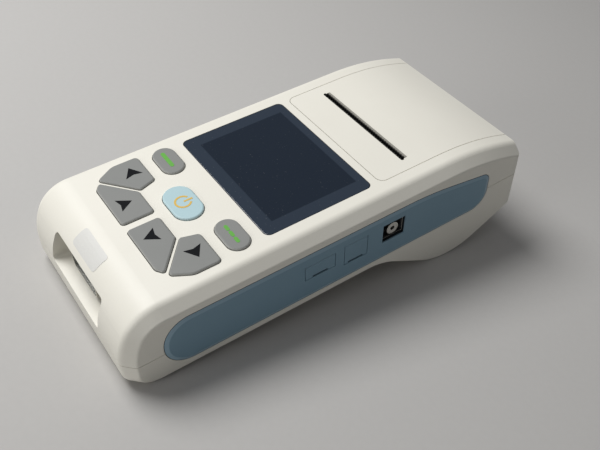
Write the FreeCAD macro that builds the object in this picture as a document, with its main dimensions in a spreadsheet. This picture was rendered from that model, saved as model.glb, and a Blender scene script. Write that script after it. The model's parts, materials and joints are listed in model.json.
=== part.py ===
import FreeCAD, Part
import math
import os

import Sketcher

# Handheld electrocardiograph with a built-in strip recorder.
# Device frame: X to the right, Y from the nose to the printer end, Z up from the flat underside.
# At the end every piece is tilted as the machine stands: on its front edge and on the printer belly.

# Driving dimensions in millimetres, counts and slopes
SIZES = {
    # Case
    "case_length": 206.0, "case_width": 96.0, "case_height": 38.0, "wall": 2.2, "side_wall": 3.2,
    "hollow_step": 3.3, "parting_height": 14.0, "edge_bevel": 5.0, "bevel_soft": 4.0, "foot_round": 7.5,
    "low_edge_round": 1.5, "nose_break": 20.9, "nose_run": 8.3, "nose_round": 33.0, "brow_round": 17.5,
    "tail_run": 23.2, "tail_drop": 7.6, "tail_round": 125.0, "belly_depth": 24.2, "belly_back": 39.0,
    "belly_front": 81.0, "belly_round": 36.0, "belly_sweep": 30.0, "heel_depth": 5.0, "heel_round": 3.0,
    "groove_deep": 0.4, "groove_tall": 0.3, "inner_round": 1.0, "small_round": 0.5,
    # Patient lead socket and its recess in the nose
    "recess_side": 7.2, "recess_low": 16.0, "recess_high": 30.5, "recess_depth": 12.7,
    "recess_round": 2.0, "bulkhead": 2.5, "flange_side": 5.9, "flange_height": 12.5,
    "flange_thick": 1.0, "flange_round": 1.5, "shell_width": 25.3, "shell_height": 8.4,
    "shell_taper": 1.45, "shell_reach": 6.0, "shell_wall": 0.5, "shell_round": 2.2, "insert_back": 4.5,
    "insert_drop": 1.0, "insert_gap": 0.3, "post_side": 8.0, "post_radius": 2.4, "post_reach": 4.0,
    "post_hole": 1.6, "post_thread": 1.2, "contact_pitch": 2.77, "contact_row": 2.84,
    "contact_radius": 0.55, "contact_deep": 4.0,
    # Display
    "window_front": 72.0, "window_width": 73.0, "window_length": 54.0, "window_thick": 1.4,
    "window_round": 3.0, "window_ledge": 2.0, "window_gap": 0.15, "window_edge": 0.4, "panel_side": 5.2,
    "panel_end": 4.6, "panel_thick": 3.4, "frame_sheet": 0.5, "frame_drop": 0.2, "frame_gap": 0.1,
    "leg_radius": 1.6, "leg_across": 24.0, "leg_inset": 3.0,
    # Keys
    "key_gap": 0.3, "key_lip": 0.55, "lip_thick": 1.2, "lip_gap": 0.3, "key_rise": 1.0,
    "key_travel": 0.8, "key_edge": 0.7, "outer_key_side": 38.0, "outer_key_top": 50.5,
    "outer_key_shoulder": 20.0, "outer_key_tip": 17.5, "outer_key_tip_y": 42.4, "outer_key_foot": 33.0,
    "outer_key_foot_y": 29.3, "outer_key_waist": 38.0, "inner_key_edge": 2.0, "inner_key_top": 41.2,
    "inner_key_low": 26.4, "inner_key_shoulder": 16.6, "inner_key_foot": 27.5, "inner_key_tip": 31.0,
    "inner_key_tip_y": 28.9, "oval_across": 27.8, "oval_along": 61.1, "oval_width": 18.8,
    "oval_length": 10.6, "key_round": 2.0, "key_corner_round": 1.6, "key_tip_round": 1.0,
    "outer_key_waist_round": 7.0, "inner_key_foot_round": 2.6, "power_along": 53.5, "power_width": 22.0,
    "power_length": 13.4, "mat_thick": 1.0, "mat_gap": 0.3, "mat_side": 0.5, "mat_clear": 0.4,
    "dome_radius": 2.6, "dome_rise": 0.5, "key_board_thick": 1.2, "key_board_width": 74.0,
    "key_board_lead": 4.0, "key_board_tail": 1.0, "board_round": 1.5, "key_post_across": 10.0,
    "key_post_inset": 3.2, "key_post_radius": 2.4,
    # Main board and what it carries
    "board_under": 25.4, "board_thick": 1.6, "board_side": 8.3, "board_lead": 3.0, "board_tail": 2.3,
    "board_post_side": 3.5, "board_post_inset": 6.0, "board_post_radius": 3.2, "buzzer_radius": 6.0,
    "buzzer_hole": 1.2, "buzzer_height": 7.0, "buzzer_across": -20.0, "buzzer_along": 104.0,
    # Side strips and the ports in the right one
    "strip_front": 17.0, "strip_tail_gap": 19.0, "strip_low": 4.2, "strip_high": 29.6,
    "strip_bend_gap": 56.0, "strip_tail": 23.6, "strip_nose_round": 12.2, "strip_bend_round": 150.0,
    "strip_tail_round": 5.0, "strip_heel_round": 9.0, "strip_seat": 1.4, "strip_proud": 0.6,
    "strip_gap": 0.25, "strip_edge": 0.6, "jack_along": 129.8, "jack_height": 19.5, "jack_width": 12.5,
    "jack_tall": 10.4, "jack_depth": 9.6, "jack_margin": 0.3, "jack_rim": 0.9, "sleeve_radius": 3.1,
    "sleeve_bore": 1.1, "sleeve_reach": 2.6, "flap_gap": 0.3, "flap_bead": 0.8, "flap_inside": 0.3,
    "nail_width": 8.0, "nail_tall": 0.9, "nail_deep": 1.1, "plug_depth": 1.0, "plug_gap": 0.6,
    "card_along": 90.3, "card_height": 19.4, "card_flap_width": 15.2, "card_flap_tall": 7.4,
    "card_slot_width": 12.4, "card_slot_tall": 2.8, "card_depth": 15.0, "card_wall": 0.8,
    "card_leg": 1.5, "card_leg_step": 4.0, "data_along": 109.0, "data_height": 18.6,
    "data_flap_width": 12.0, "data_flap_tall": 10.8, "data_mouth_width": 8.5, "data_mouth_tall": 7.8,
    "data_depth": 16.0, "data_wall": 1.0, "port_gap": 0.3, "tongue_width": 5.6, "tongue_tall": 3.2,
    "tongue_short": 2.5,
    # Battery
    "battery_front": 45.4, "cell_diameter": 18.6, "battery_length": 66.0, "battery_lift": 0.2,
    "door_side": 3.0, "door_end": 9.4, "door_plate": 1.2, "door_ledge": 2.4, "door_end_ledge": 7.0,
    "door_gap": 0.2, "door_round": 3.0, "door_screw_across": 27.0, "door_screw_inset": 3.6,
    "door_boss_radius": 3.0, "door_boss_tall": 5.6, "door_head_seat": 0.8, "door_head_tall": 0.7,
    # Fasteners
    "screw_radius": 1.45, "screw_play": 0.05, "screw_head_radius": 2.7, "screw_head_tall": 1.8,
    "screw_length": 14.0, "short_screw": 6.0, "peg_screw": 4.0, "pilot_over": 0.3, "pilot_deep": 1.0,
    "case_post_radius": 4.0, "case_boss_radius": 3.4, "case_post_side": 3.8, "case_post_front": 30.0,
    "case_post_middle": 74.0, "case_post_tail": 12.0, "case_boss_under": 1.0, "head_seat": 5.0,
    "head_play": 0.4,
    # Printer cover
    "cover_length": 75.7, "cover_half": 36.5, "cover_gap": 0.3, "cover_round": 3.5, "slot_length": 60.8,
    "slot_width": 1.8, "hinge_rise": 6.0, "hinge_radius": 3.0, "hinge_pin": 1.25, "hinge_play": 0.05,
    "barrel_half": 28.0, "knuckle_gap": 0.4, "knuckle_sink": 0.5, "tear_deep": 1.9, "tear_wide": 1.6,
    "tear_pitch": 1.6, "tear_count": 37.0, "tear_rise": 0.3, "tear_bite": 0.67, "tear_tooth": 0.8,
    "tear_gap": 0.1,
    # Printer
    "platen_from_back": 53.0, "platen_height": 26.0, "platen_radius": 5.0, "platen_half": 28.8,
    "shaft_radius": 2.0, "shaft_play": 0.05, "bush_radius": 3.4, "bush_flange": 4.2,
    "flange_sheet": 0.6, "cheek_inside": 31.5, "cheek_thick": 2.0, "cheek_lead": 7.0, "cheek_tail": 6.0,
    "cheek_shoulder": 2.0, "cheek_top": 31.0, "motor_cheek_reach": 7.2, "motor_cheek_low": 3.0,
    "bush_play": 0.02, "shaft_over": 1.5, "cheek_low_top": 21.0, "base_height": 0.5, "base_thick": 2.0,
    "base_tail": 2.0, "base_post_across": 24.0, "base_post_radius": 3.4, "base_post_inset": 3.0,
    "spring_room": 3.45, "brace_thick": 1.5, "brace_top": 24.0, "head_gap": 0.3, "head_plate": 2.2,
    "head_strip": 0.55, "head_low": 13.0, "head_high": 30.0, "head_strip_low": 22.0,
    "head_strip_high": 29.5, "head_side_gap": 0.3, "spring_sheet": 0.4, "spring_half": 14.0,
    "spring_low": 10.0, "spring_bend": 18.0, "spring_tip": 23.0, "spring_top": 26.0, "spring_gap": 0.1,
    "gear_module": 0.5, "platen_teeth": 30.0, "idler_teeth": 36.0, "pinion_teeth": 12.0,
    "gear_inside": 36.6, "gear_face": 3.4, "mesh_gap": 0.1, "tooth_thick": 0.68, "tooth_tip": 0.34,
    "tooth_root": 1.1, "addendum": 0.45, "dedendum": 0.6, "tooth_sink": 0.15, "idler_drop_along": 4.0,
    "axle_radius": 1.5, "motor_radius": 7.5, "motor_length": 14.0, "motor_shaft": 0.9,
    "motor_boss": 1.9, "motor_boss_reach": 0.6, "motor_bore": 6.0, "gear_float": 0.3, "axle_head": 1.0,
    "axle_collar": 0.9,
    # Paper
    "roll_from_back": 31.0, "roll_height": 8.0, "roll_radius": 19.0, "roll_half": 28.5,
    "core_radius": 7.5, "core_bore": 6.2, "spindle_radius": 4.0, "spindle_play": 0.08,
    "spindle_half": 35.0, "spindle_shoulder": 1.0, "bay_cheek_inside": 31.5, "bay_cheek_thick": 2.5,
    "bay_cheek_half": 9.0, "bay_cheek_rise": 4.0, "bay_cheek_foot": 15.0,
}

VIEWS = {"top": ("XY_Plane", 1), "side": ("YZ_Plane", 1), "front": ("XZ_Plane", -1)}
# How far cutting shapes reach past the case, and past a single face
REACH = 60.0
OVER = 2.0
# How far the radius of a full round end stays under half its width
ROUND_SLACK = 0.02

doc = FreeCAD.newDocument("ElectrocardiographRecorder")
sheet = doc.addObject("Spreadsheet::Sheet", "Sizes")
nodes = {}


class Size:
    """A size as a number, and as the sheet expression that gives it."""

    def __init__(self, number, text):
        self.number = number
        self.text = text

    def __add__(self, other):
        other = as_size(other)
        return Size(self.number + other.number, "(%s + %s)" % (self.text, other.text))

    def __sub__(self, other):
        other = as_size(other)
        return Size(self.number - other.number, "(%s - %s)" % (self.text, other.text))

    def __mul__(self, other):
        other = as_size(other)
        return Size(self.number * other.number, "(%s * %s)" % (self.text, other.text))

    def __truediv__(self, other):
        other = as_size(other)
        return Size(self.number / other.number, "(%s / %s)" % (self.text, other.text))

    def __radd__(self, other):
        return as_size(other) + self

    def __rsub__(self, other):
        return as_size(other) - self

    def __rmul__(self, other):
        return as_size(other) * self

    def __neg__(self):
        return Size(-self.number, "(-%s)" % self.text)


class SizeTable:
    """The sheet's sizes by name."""


def as_size(value):
    return value if isinstance(value, Size) else Size(float(value), "%.6f" % value)


def root(value):
    return Size(math.sqrt(value.number), "sqrt(%s)" % value.text)


def write_sheet():
    """Fill the sheet with the driving dimensions and return them by name."""
    table = SizeTable()
    for row, (name, value) in enumerate(SIZES.items(), 1):
        sheet.set("A%d" % row, name)
        sheet.set("B%d" % row, "%g" % value)
        sheet.setAlias("B%d" % row, name)
        setattr(table, name, Size(value, "Sizes.%s" % name))
    doc.recompute()
    return table


def bind(thing, prop, value):
    """Tie a property to the sheet."""
    thing.setExpression(prop, as_size(value).text)


def unit(start, end):
    across, up = end[0] - start[0], end[1] - start[1]
    length = root(across * across + up * up)
    return across / length, up / length


def inset(points, gap):
    """The same anticlockwise outline, moved inwards by a gap."""
    points = [(as_size(x), as_size(y)) for x, y in points]
    moved = []
    for before, here, after in zip(points[-1:] + points[:-1], points, points[1:] + points[:1]):
        one, two = unit(before, here), unit(here, after)
        share = as_size(gap) / (one[0] * two[0] + one[1] * two[1] + 1.0)
        moved.append((here[0] - (one[1] + two[1]) * share, here[1] + (one[0] + two[0]) * share))
    return moved


def disc(across, up, radius):
    """A circle for a sketch."""
    across, up, radius = as_size(across), as_size(up), as_size(radius)

    def draw(sketch):
        centre = FreeCAD.Vector(across.number, up.number, 0)
        ring = sketch.addGeometry(Part.Circle(centre, FreeCAD.Vector(0, 0, 1), radius.number))
        fix_point(sketch, ring, 3, across, up)
        fix(sketch, Sketcher.Constraint("Radius", ring, radius.number), radius)

    return draw


def fix(sketch, constraint, value):
    """Add a constraint whose value follows the sheet."""
    index = sketch.addConstraint(constraint)
    sketch.setExpression("Constraints[%d]" % index, value.text)


def fix_point(sketch, item, place, across, up):
    fix(sketch, Sketcher.Constraint("DistanceX", -1, 1, item, place, across.number), across)
    fix(sketch, Sketcher.Constraint("DistanceY", -1, 1, item, place, up.number), up)


def outline(points, rounds=None):
    """A closed anticlockwise outline for a sketch; rounds gives corner radii by corner number."""
    points = [(as_size(x), as_size(y)) for x, y in points]
    rounds = {corner: as_size(radius) for corner, radius in (rounds or {}).items()}
    spots = [FreeCAD.Vector(x.number, y.number, 0) for x, y in points]
    count = len(points)

    def corner(index):
        """The ends of a rounded corner's arc, its centre and whether it turns left."""
        here = spots[index]
        back = (here - spots[index - 1]).normalize()
        ahead = (spots[(index + 1) % count] - here).normalize()
        turn = math.atan2(back.x * ahead.y - back.y * ahead.x, back.dot(ahead))
        radius = rounds[index].number
        reach = radius * math.tan(abs(turn) / 2)
        side = FreeCAD.Vector(-back.y, back.x, 0) * math.copysign(radius, turn)
        entry = here - back * reach
        return entry, here + ahead * reach, entry + side, turn > 0

    def draw(sketch):
        ends = [corner(i)[:2] if i in rounds else (spots[i], spots[i]) for i in range(count)]
        lines = [
            sketch.addGeometry(Part.LineSegment(ends[i][1], ends[(i + 1) % count][0])) for i in range(count)
        ]
        for i in range(count):
            before, after = lines[i - 1], lines[i]
            if i not in rounds:
                sketch.addConstraint(Sketcher.Constraint("Coincident", before, 2, after, 1))
                fix_point(sketch, after, 1, *points[i])
                continue
            entry, leave, centre, left = corner(i)
            first, last = (entry, leave) if left else (leave, entry)
            angles = [math.atan2(p.y - centre.y, p.x - centre.x) for p in (first, last)]
            circle = Part.Circle(centre, FreeCAD.Vector(0, 0, 1), rounds[i].number)
            arc = sketch.addGeometry(Part.ArcOfCircle(circle, angles[0], angles[1]))
            sketch.addConstraint(Sketcher.Constraint("Tangent", before, 2, arc, 1 if left else 2))
            sketch.addConstraint(Sketcher.Constraint("Tangent", after, 1, arc, 2 if left else 1))
            fix(sketch, Sketcher.Constraint("Radius", arc, rounds[i].number), rounds[i])
            mark = sketch.addGeometry(Part.Point(spots[i]), True)
            sketch.addConstraint(Sketcher.Constraint("PointOnObject", mark, 1, before))
            sketch.addConstraint(Sketcher.Constraint("PointOnObject", mark, 1, after))
            fix_point(sketch, mark, 1, *points[i])

    return draw


def rectangle(left, right, low, high, radius=None):
    rounds = {i: radius for i in range(4)} if radius is not None else None
    return outline([(left, low), (right, low), (right, high), (left, high)], rounds)


class Piece:
    """A body built up from sketched outlines; along is measured on the axis that the view looks down."""

    def __init__(self, name):
        self.body = doc.addObject("PartDesign::Body", name)
        self.body.Label = name
        self.steps = 0

    def sketch(self, view, start, shapes):
        self.steps += 1
        role, way = VIEWS[view]
        sketch = self.body.newObject("Sketcher::SketchObject", "%s_outline%d" % (self.body.Name, self.steps))
        plane = next(item for item in self.body.Origin.OriginFeatures if item.Role == role)
        sketch.AttachmentSupport = [(plane, "")]
        sketch.MapMode = "FlatFace"
        bind(sketch, ".AttachmentOffset.Base.z", as_size(start) * way)
        for shape in shapes:
            shape(sketch)
        return sketch

    def feature(self, kind, view, start, length, shapes, backwards):
        sketch = self.sketch(view, start, shapes)
        feature = self.body.newObject("PartDesign::" + kind, "%s_%s%d" % (self.body.Name, kind, self.steps))
        feature.Profile = sketch
        feature.Reversed = backwards
        bind(feature, "Length", length)
        self.last = feature
        return self

    def pad(self, view, start, length, *shapes):
        return self.feature("Pad", view, start, length, shapes, view == "front")

    def cut(self, view, start, length, *shapes):
        return self.feature("Pocket", view, start, length, shapes, view != "front")

    def dress(self, kind, prop, value, wanted):
        """Round or bevel the edges or faces that the test picks."""
        doc.recompute()
        base = self.body.Tip
        names = ["Edge%d" % (i + 1) for i, edge in enumerate(base.Shape.Edges) if wanted(edge)]
        self.steps += 1
        feature = self.body.newObject("PartDesign::" + kind, "%s_%s%d" % (self.body.Name, kind, self.steps))
        feature.Base = (base, names)
        bind(feature, prop, value)
        return self

    def bevel(self, value, wanted):
        return self.dress("Chamfer", "Size", value, wanted)

    def soften(self, value, wanted):
        return self.dress("Fillet", "Radius", value, wanted)

    def repeat_around(self, count):
        """Repeat the last feature evenly about the body's own X axis."""
        axis = next(item for item in self.body.Origin.OriginFeatures if item.Role == "X_Axis")
        pattern = self.body.newObject("PartDesign::PolarPattern", "%s_around" % self.body.Name)
        pattern.Originals = [self.last]
        pattern.Axis = (axis, [""])
        bind(pattern, "Occurrences", count)
        self.body.Tip = pattern
        return self

    def repeat_across(self, count, length):
        """Repeat the last feature evenly along X."""
        axis = next(item for item in self.body.Origin.OriginFeatures if item.Role == "X_Axis")
        pattern = self.body.newObject("PartDesign::LinearPattern", "%s_across" % self.body.Name)
        pattern.Originals = [self.last]
        pattern.Direction = (axis, [""])
        bind(pattern, "Length", length)
        bind(pattern, "Occurrences", count)
        self.body.Tip = pattern
        return self


def near(value, target):
    return abs(value - as_size(target).number) < 0.01


def touches(edge, **planes):
    """Whether an edge lies wholly in the given planes, such as z=0; x by distance from the middle."""
    box = edge.BoundBox
    spans = {"x": (abs(box.XMin), abs(box.XMax)), "y": (box.YMin, box.YMax), "z": (box.ZMin, box.ZMax)}
    return all(near(spans[axis][0], at) and near(spans[axis][1], at) for axis, at in planes.items())


def boolean(kind, name, base, tool):
    result = doc.addObject("Part::" + kind, name)
    result.Base = base
    result.Tool = tool
    return result


def joined(name, *shapes):
    result = doc.addObject("Part::MultiFuse", name)
    result.Shapes = list(shapes)
    return result


def prism(name, view, start, length, *shapes):
    return Piece(name).pad(view, start, length, *shapes).body


def keep(name, thing, seat=None):
    """Enter a sub-part, with its seat where it was modelled about its own centre."""
    thing.Label = name
    nodes[name] = (thing, seat or FreeCAD.Placement())


d = write_sheet()
half_width = d.case_width / 2
inner_half = half_width - d.side_wall
ceiling = d.case_height - d.wall
hinge_height = d.parting_height + d.hinge_rise
hinge_along = d.case_length - d.hinge_radius
cover_front = d.case_length - d.cover_length
platen_along = d.case_length - d.platen_from_back
roll_along = d.case_length - d.roll_from_back
slot_along = platen_along - d.platen_radius
head_face = slot_along - d.head_gap
head_back = head_face - d.head_strip - d.head_plate
brace_front = head_back - d.spring_room - d.brace_thick
cheek_front = brace_front - d.cheek_lead
base_back = platen_along - d.base_tail
nose_inside = d.recess_depth + d.bulkhead
socket_height = (d.recess_low + d.recess_high) / 2
post_across = (d.shell_width + d.post_side) / 2
flange_half = post_across + d.flange_side / 2
recess_half = flange_half + d.recess_side / 2
board_half = inner_half - d.board_side
board_front = nose_inside + d.board_lead
key_board_front = nose_inside + d.key_board_lead
key_board_back = d.window_front - d.key_board_tail
panel_half = (d.window_width - d.panel_side) / 2
door_half = d.battery_length / 2 + d.door_side
door_front = d.battery_front - d.door_end
door_back = d.battery_front + d.cell_diameter * 2 + d.door_end


def pitch_radius(teeth):
    return d.gear_module * teeth / 2


def idler_place():
    reach = pitch_radius(d.platen_teeth) + pitch_radius(d.idler_teeth) + d.mesh_gap
    ahead = d.platen_radius + d.idler_drop_along
    drop = root(reach * reach - ahead * ahead)
    return platen_along - ahead, d.platen_height - drop


def pinion_place():
    along, height = idler_place()
    return along - (pitch_radius(d.idler_teeth) + pitch_radius(d.pinion_teeth) + d.mesh_gap), height


motor_front = pinion_place()[0] - d.motor_cheek_reach
board_back = motor_front + d.board_tail


def side_profile(step):
    """Case outline seen from the right, stepped down from the nose and the top."""
    length, top = d.case_length, d.case_height - step
    return [
        (as_size(step), as_size(0)),
        (length - d.belly_front, as_size(0)),
        (length - d.belly_back, -d.belly_depth),
        (length, -d.heel_depth),
        (length, top - d.tail_drop),
        (length - d.tail_run, top),
        (d.nose_run + step, top),
        (as_size(step), d.nose_break - step),
    ]


def profile_rounds(gap):
    """Corner radii of the case outline, moved inwards by a gap."""
    return {
        1: d.belly_sweep + gap, 2: d.belly_round - gap, 3: d.heel_round - gap, 5: d.tail_round - gap,
        6: d.brow_round - gap, 7: d.nose_round - gap,
    }


def case_form():
    """Outer form of the whole case, as one solid."""
    piece = Piece("case_form")
    piece.pad("side", -half_width, d.case_width, outline(side_profile(0), profile_rounds(0)))
    flank = half_width.number
    top_line = d.case_height.number
    piece.bevel(d.edge_bevel, lambda e: touches(e, x=flank, z=top_line))
    piece.soften(d.bevel_soft, lambda e: touches(e, x=half_width - d.edge_bevel, z=top_line))
    piece.soften(d.foot_round, lambda e: touches(e, y=0, z=0))
    piece.soften(d.low_edge_round, lambda e: touches(e, x=flank, z=0))
    return piece.body


def case_hollow():
    """Inside of the case: a middle reach under the top, and a wider reach below the bevelled edges."""
    piece = Piece("case_hollow")
    middle = inner_half - d.hollow_step
    for half, step in ((middle, 0), (inner_half, d.edge_bevel)):
        rounds = profile_rounds(d.wall)
        rounds[0] = d.foot_round - d.wall
        piece.pad("side", -half, half * 2, outline(inset(side_profile(step), d.wall), rounds))
    block = recess_half + d.bulkhead
    piece.cut(
        "front", -REACH, nose_inside + REACH,
        rectangle(-block, block, d.parting_height, d.recess_high + d.bulkhead),
    )
    return piece.body


def mirrored(points):
    return [(-x, y) for x, y in reversed(points)]


def oval(across, along, width, length):
    return [
        (across - width / 2, along - length / 2), (across + width / 2, along - length / 2),
        (across + width / 2, along + length / 2), (across - width / 2, along + length / 2),
    ]


def key_shapes():
    """Outline, corner radii and dome place of each key, by name."""
    outer = [
        (-d.outer_key_foot, d.outer_key_foot_y), (-d.outer_key_tip, d.outer_key_tip_y),
        (-d.outer_key_shoulder, d.outer_key_top), (-d.outer_key_side, d.outer_key_top),
        (-d.outer_key_side, d.outer_key_waist),
    ]
    inner = [
        (-d.inner_key_foot, d.inner_key_low), (-d.inner_key_edge, d.inner_key_low),
        (-d.inner_key_edge, d.inner_key_top), (-d.inner_key_shoulder, d.inner_key_top),
        (-d.inner_key_tip, d.inner_key_tip_y),
    ]
    outer_rounds = {
        0: d.key_corner_round, 1: d.key_tip_round, 2: d.key_round, 3: d.key_round, 4: d.outer_key_waist_round,
    }
    inner_rounds = {
        0: d.inner_key_foot_round, 1: d.key_corner_round, 2: d.key_corner_round, 3: d.key_round,
        4: d.key_tip_round,
    }
    flip = {0: 4, 1: 3, 2: 2, 3: 1, 4: 0}
    keys = {
        "left_key": (outer, outer_rounds), "up_key": (inner, inner_rounds),
        "down_key": (mirrored(inner), {flip[i]: r for i, r in inner_rounds.items()}),
        "right_key": (mirrored(outer), {flip[i]: r for i, r in outer_rounds.items()}),
    }
    places = {
        "left_oval_key": (-d.oval_across, d.oval_along, d.oval_width, d.oval_length),
        "right_oval_key": (d.oval_across, d.oval_along, d.oval_width, d.oval_length),
        "power_key": (as_size(0), d.power_along, d.power_width, d.power_length),
    }
    for name, place in places.items():
        keys[name] = (oval(*place), {i: place[3] / 2 - ROUND_SLACK for i in range(4)})
    return keys


def grown(points, rounds, gap):
    """A key's outline with a margin round it."""
    return outline(inset(points, -gap), {i: as_size(r) + gap for i, r in rounds.items()})


def middle_of(points):
    total = len(points)
    across, along = as_size(0), as_size(0)
    for x, y in points:
        across, along = across + x / total, along + y / total
    return across, along


def strip_points(gap):
    back, bend = d.case_length - d.strip_tail_gap, d.case_length - d.strip_bend_gap
    points = [
        (d.strip_front, d.strip_low), (back, d.strip_low), (back, d.strip_tail), (bend, d.strip_high),
        (d.strip_front, d.strip_high),
    ]
    rounds = {
        0: d.strip_nose_round, 1: d.strip_heel_round, 2: d.strip_tail_round, 3: d.strip_bend_round,
        4: d.strip_nose_round,
    }
    return inset(points, -gap), {i: as_size(r) + gap for i, r in rounds.items()}


def case_posts():
    """Places of the case screws: three pairs."""
    alongs = (d.case_post_front, d.case_post_middle, d.case_length - d.case_post_tail)
    across = inner_half - d.case_post_side
    return [(across * side, along) for along in alongs for side in (-1, 1)]


def board_posts():
    alongs = (board_front + d.board_post_inset, board_back - d.board_post_inset)
    across = board_half - d.board_post_side
    return [(across * side, along) for along in alongs for side in (-1, 1)]


def key_posts():
    alongs = (key_board_front + d.key_post_inset, key_board_back - d.key_post_inset)
    return [(d.key_post_across * side, along) for along in alongs for side in (-1, 1)]


def base_posts():
    alongs = (cheek_front + d.base_post_inset, base_back - d.base_post_inset)
    return [(d.base_post_across * side, along) for along in alongs for side in (-1, 1)]


def door_screws():
    alongs = (door_front + d.door_screw_inset, door_back - d.door_screw_inset)
    return [(d.door_screw_across * side, along) for along in alongs for side in (-1, 1)]


def columns(name, places, radius, low, high):
    """Round columns of one height at several places."""
    return prism(name, "top", low, as_size(high) - low, *[disc(x, y, radius) for x, y in places])


lip_top = ceiling - d.lip_gap
key_under = lip_top - d.lip_thick
mat_top = key_under - d.key_travel - d.mat_gap
key_board_top = mat_top - d.dome_rise - d.mat_thick
strip_floor = half_width - d.strip_seat
strip_face = half_width + d.strip_proud
form = case_form()
hollow = case_hollow()
skin = boolean("Cut", "case_skin", form, hollow)
KEYS = key_shapes()


def port_holes():
    """Holes through the right wall for the power jack and behind the two port flaps."""
    gap = d.port_gap * 2
    holes = [
        (d.jack_along, d.jack_height, d.jack_width, d.jack_tall),
        (d.card_along, d.card_height, d.card_slot_width, d.card_slot_tall),
        (d.data_along, d.data_height, d.data_mouth_width + gap, d.data_mouth_tall + gap),
    ]
    outlines = [outline(oval(*hole)) for hole in holes]
    return prism("port_holes", "side", inner_half - OVER, d.side_wall + OVER * 2, *outlines)


def strip_seats():
    points, rounds = strip_points(d.strip_gap)
    deep = d.strip_seat + OVER
    right = prism("right_strip_seat", "side", strip_floor, deep, outline(points, rounds))
    left = prism("left_strip_seat", "side", -strip_floor - deep, deep, outline(points, rounds))
    return right, left


def recess():
    return prism(
        "nose_recess", "front", -REACH, d.recess_depth + REACH,
        rectangle(-recess_half, recess_half, d.recess_low, d.recess_high, d.recess_round),
    )


def socket_pass():
    """Hole through the bulkhead for the insert of the lead socket."""
    half = d.shell_width / 2 - d.shell_wall
    tall = d.shell_height / 2
    return prism(
        "socket_pass", "front", d.recess_depth - OVER, d.bulkhead + OVER * 2,
        rectangle(-half, half, socket_height - tall, socket_height + tall, d.small_round),
    )


nose_recess = recess()
nose_pass = socket_pass()
side_holes = port_holes()
seat_right, seat_left = strip_seats()


def top_case():
    """Upper shell: window seat, key openings, printer opening, hinge knuckles, screw bosses."""
    half_box = prism(
        "upper_half", "top", d.parting_height, REACH, rectangle(-REACH, REACH, -OVER, d.case_length + OVER)
    )
    shell = boolean("Common", "upper_shell", skin, half_box)
    boss_top = d.case_height - d.edge_bevel - d.case_boss_under
    bosses = columns("upper_bosses", case_posts(), d.case_boss_radius, d.parting_height, boss_top)
    trim = boolean("Common", "upper_bosses_trim", bosses, form)
    pegs = columns("key_pegs", key_posts(), d.key_post_radius, key_board_top, ceiling + d.wall / 2)
    opening = Piece("cover_opening")
    half = d.cover_half + d.cover_gap
    opening.pad(
        "top", hinge_height - d.hinge_radius - d.knuckle_gap, REACH,
        outline(
            [(-half, cover_front - d.cover_gap), (half, cover_front - d.cover_gap),
             (half, d.case_length + OVER), (-half, d.case_length + OVER)],
            {0: d.cover_round + d.cover_gap, 1: d.cover_round + d.cover_gap},
        ),
    )
    opened = boolean("Cut", "upper_opened", joined("upper_solid", shell, trim, pegs), opening.body)
    knuckle_long = half - d.barrel_half - d.knuckle_gap + d.knuckle_sink
    ends = []
    starts = {"left_knuckle": -half - d.knuckle_sink, "right_knuckle": d.barrel_half + d.knuckle_gap}
    for name, start in starts.items():
        knuckle = Piece(name).pad(
            "side", start, knuckle_long, disc(hinge_along, hinge_height, d.hinge_radius)
        )
        knuckle.pad(
            "side", start, knuckle_long,
            rectangle(hinge_along - d.hinge_radius, d.case_length, d.parting_height, hinge_height),
        )
        ends.append(knuckle.body)
    pin_hole = prism(
        "hinge_pin_hole", "side", -half - OVER, (half + OVER) * 2,
        disc(hinge_along, hinge_height, d.hinge_pin + d.hinge_play),
    )
    ledge, gap = d.window_ledge, d.window_gap
    left, front = -d.window_width / 2, d.window_front
    back = front + d.window_length
    window = Piece("window_hole")
    window.pad(
        "top", d.case_height - d.window_thick, d.window_thick + OVER,
        rectangle(left - gap, -left + gap, front - gap, back + gap, d.window_round),
    )
    window.pad(
        "top", ceiling - OVER, d.wall + OVER,
        rectangle(left + ledge, -left - ledge, front + ledge, back - ledge, d.inner_round),
    )
    holes = [grown(points, rounds, d.key_gap) for points, rounds in KEYS.values()]
    key_holes = prism("key_holes", "top", ceiling - OVER, d.wall + OVER * 2, *holes)
    pilots = columns(
        "case_pilots", case_posts(), d.screw_radius + d.screw_play, d.parting_height - OVER,
        d.head_seat + d.screw_length + d.pilot_deep,
    )
    peg_pilots = columns(
        "key_peg_pilots", key_posts(), d.screw_radius + d.screw_play, key_board_top - OVER,
        key_board_top - d.key_board_thick + d.peg_screw + d.pilot_over,
    )
    deep = d.groove_deep
    corner = d.edge_bevel + deep
    wide, back_face = half_width - deep, d.case_length - deep
    groove = Piece("parting_groove").pad(
        "top", d.parting_height, d.groove_tall, rectangle(-REACH, REACH, -OVER, d.case_length + OVER),
        outline([
            (corner - half_width, deep), (half_width - corner, deep), (wide, corner), (wide, back_face),
            (-wide, back_face), (-wide, corner),
        ]),
    )
    tools = joined(
        "upper_tools", groove.body, pin_hole, window.body, key_holes, pilots, peg_pilots, nose_recess,
        nose_pass, side_holes, seat_right, seat_left,
    )
    keep("top_case", boolean("Cut", "top_case", joined("upper_hinged", opened, *ends), tools))


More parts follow.
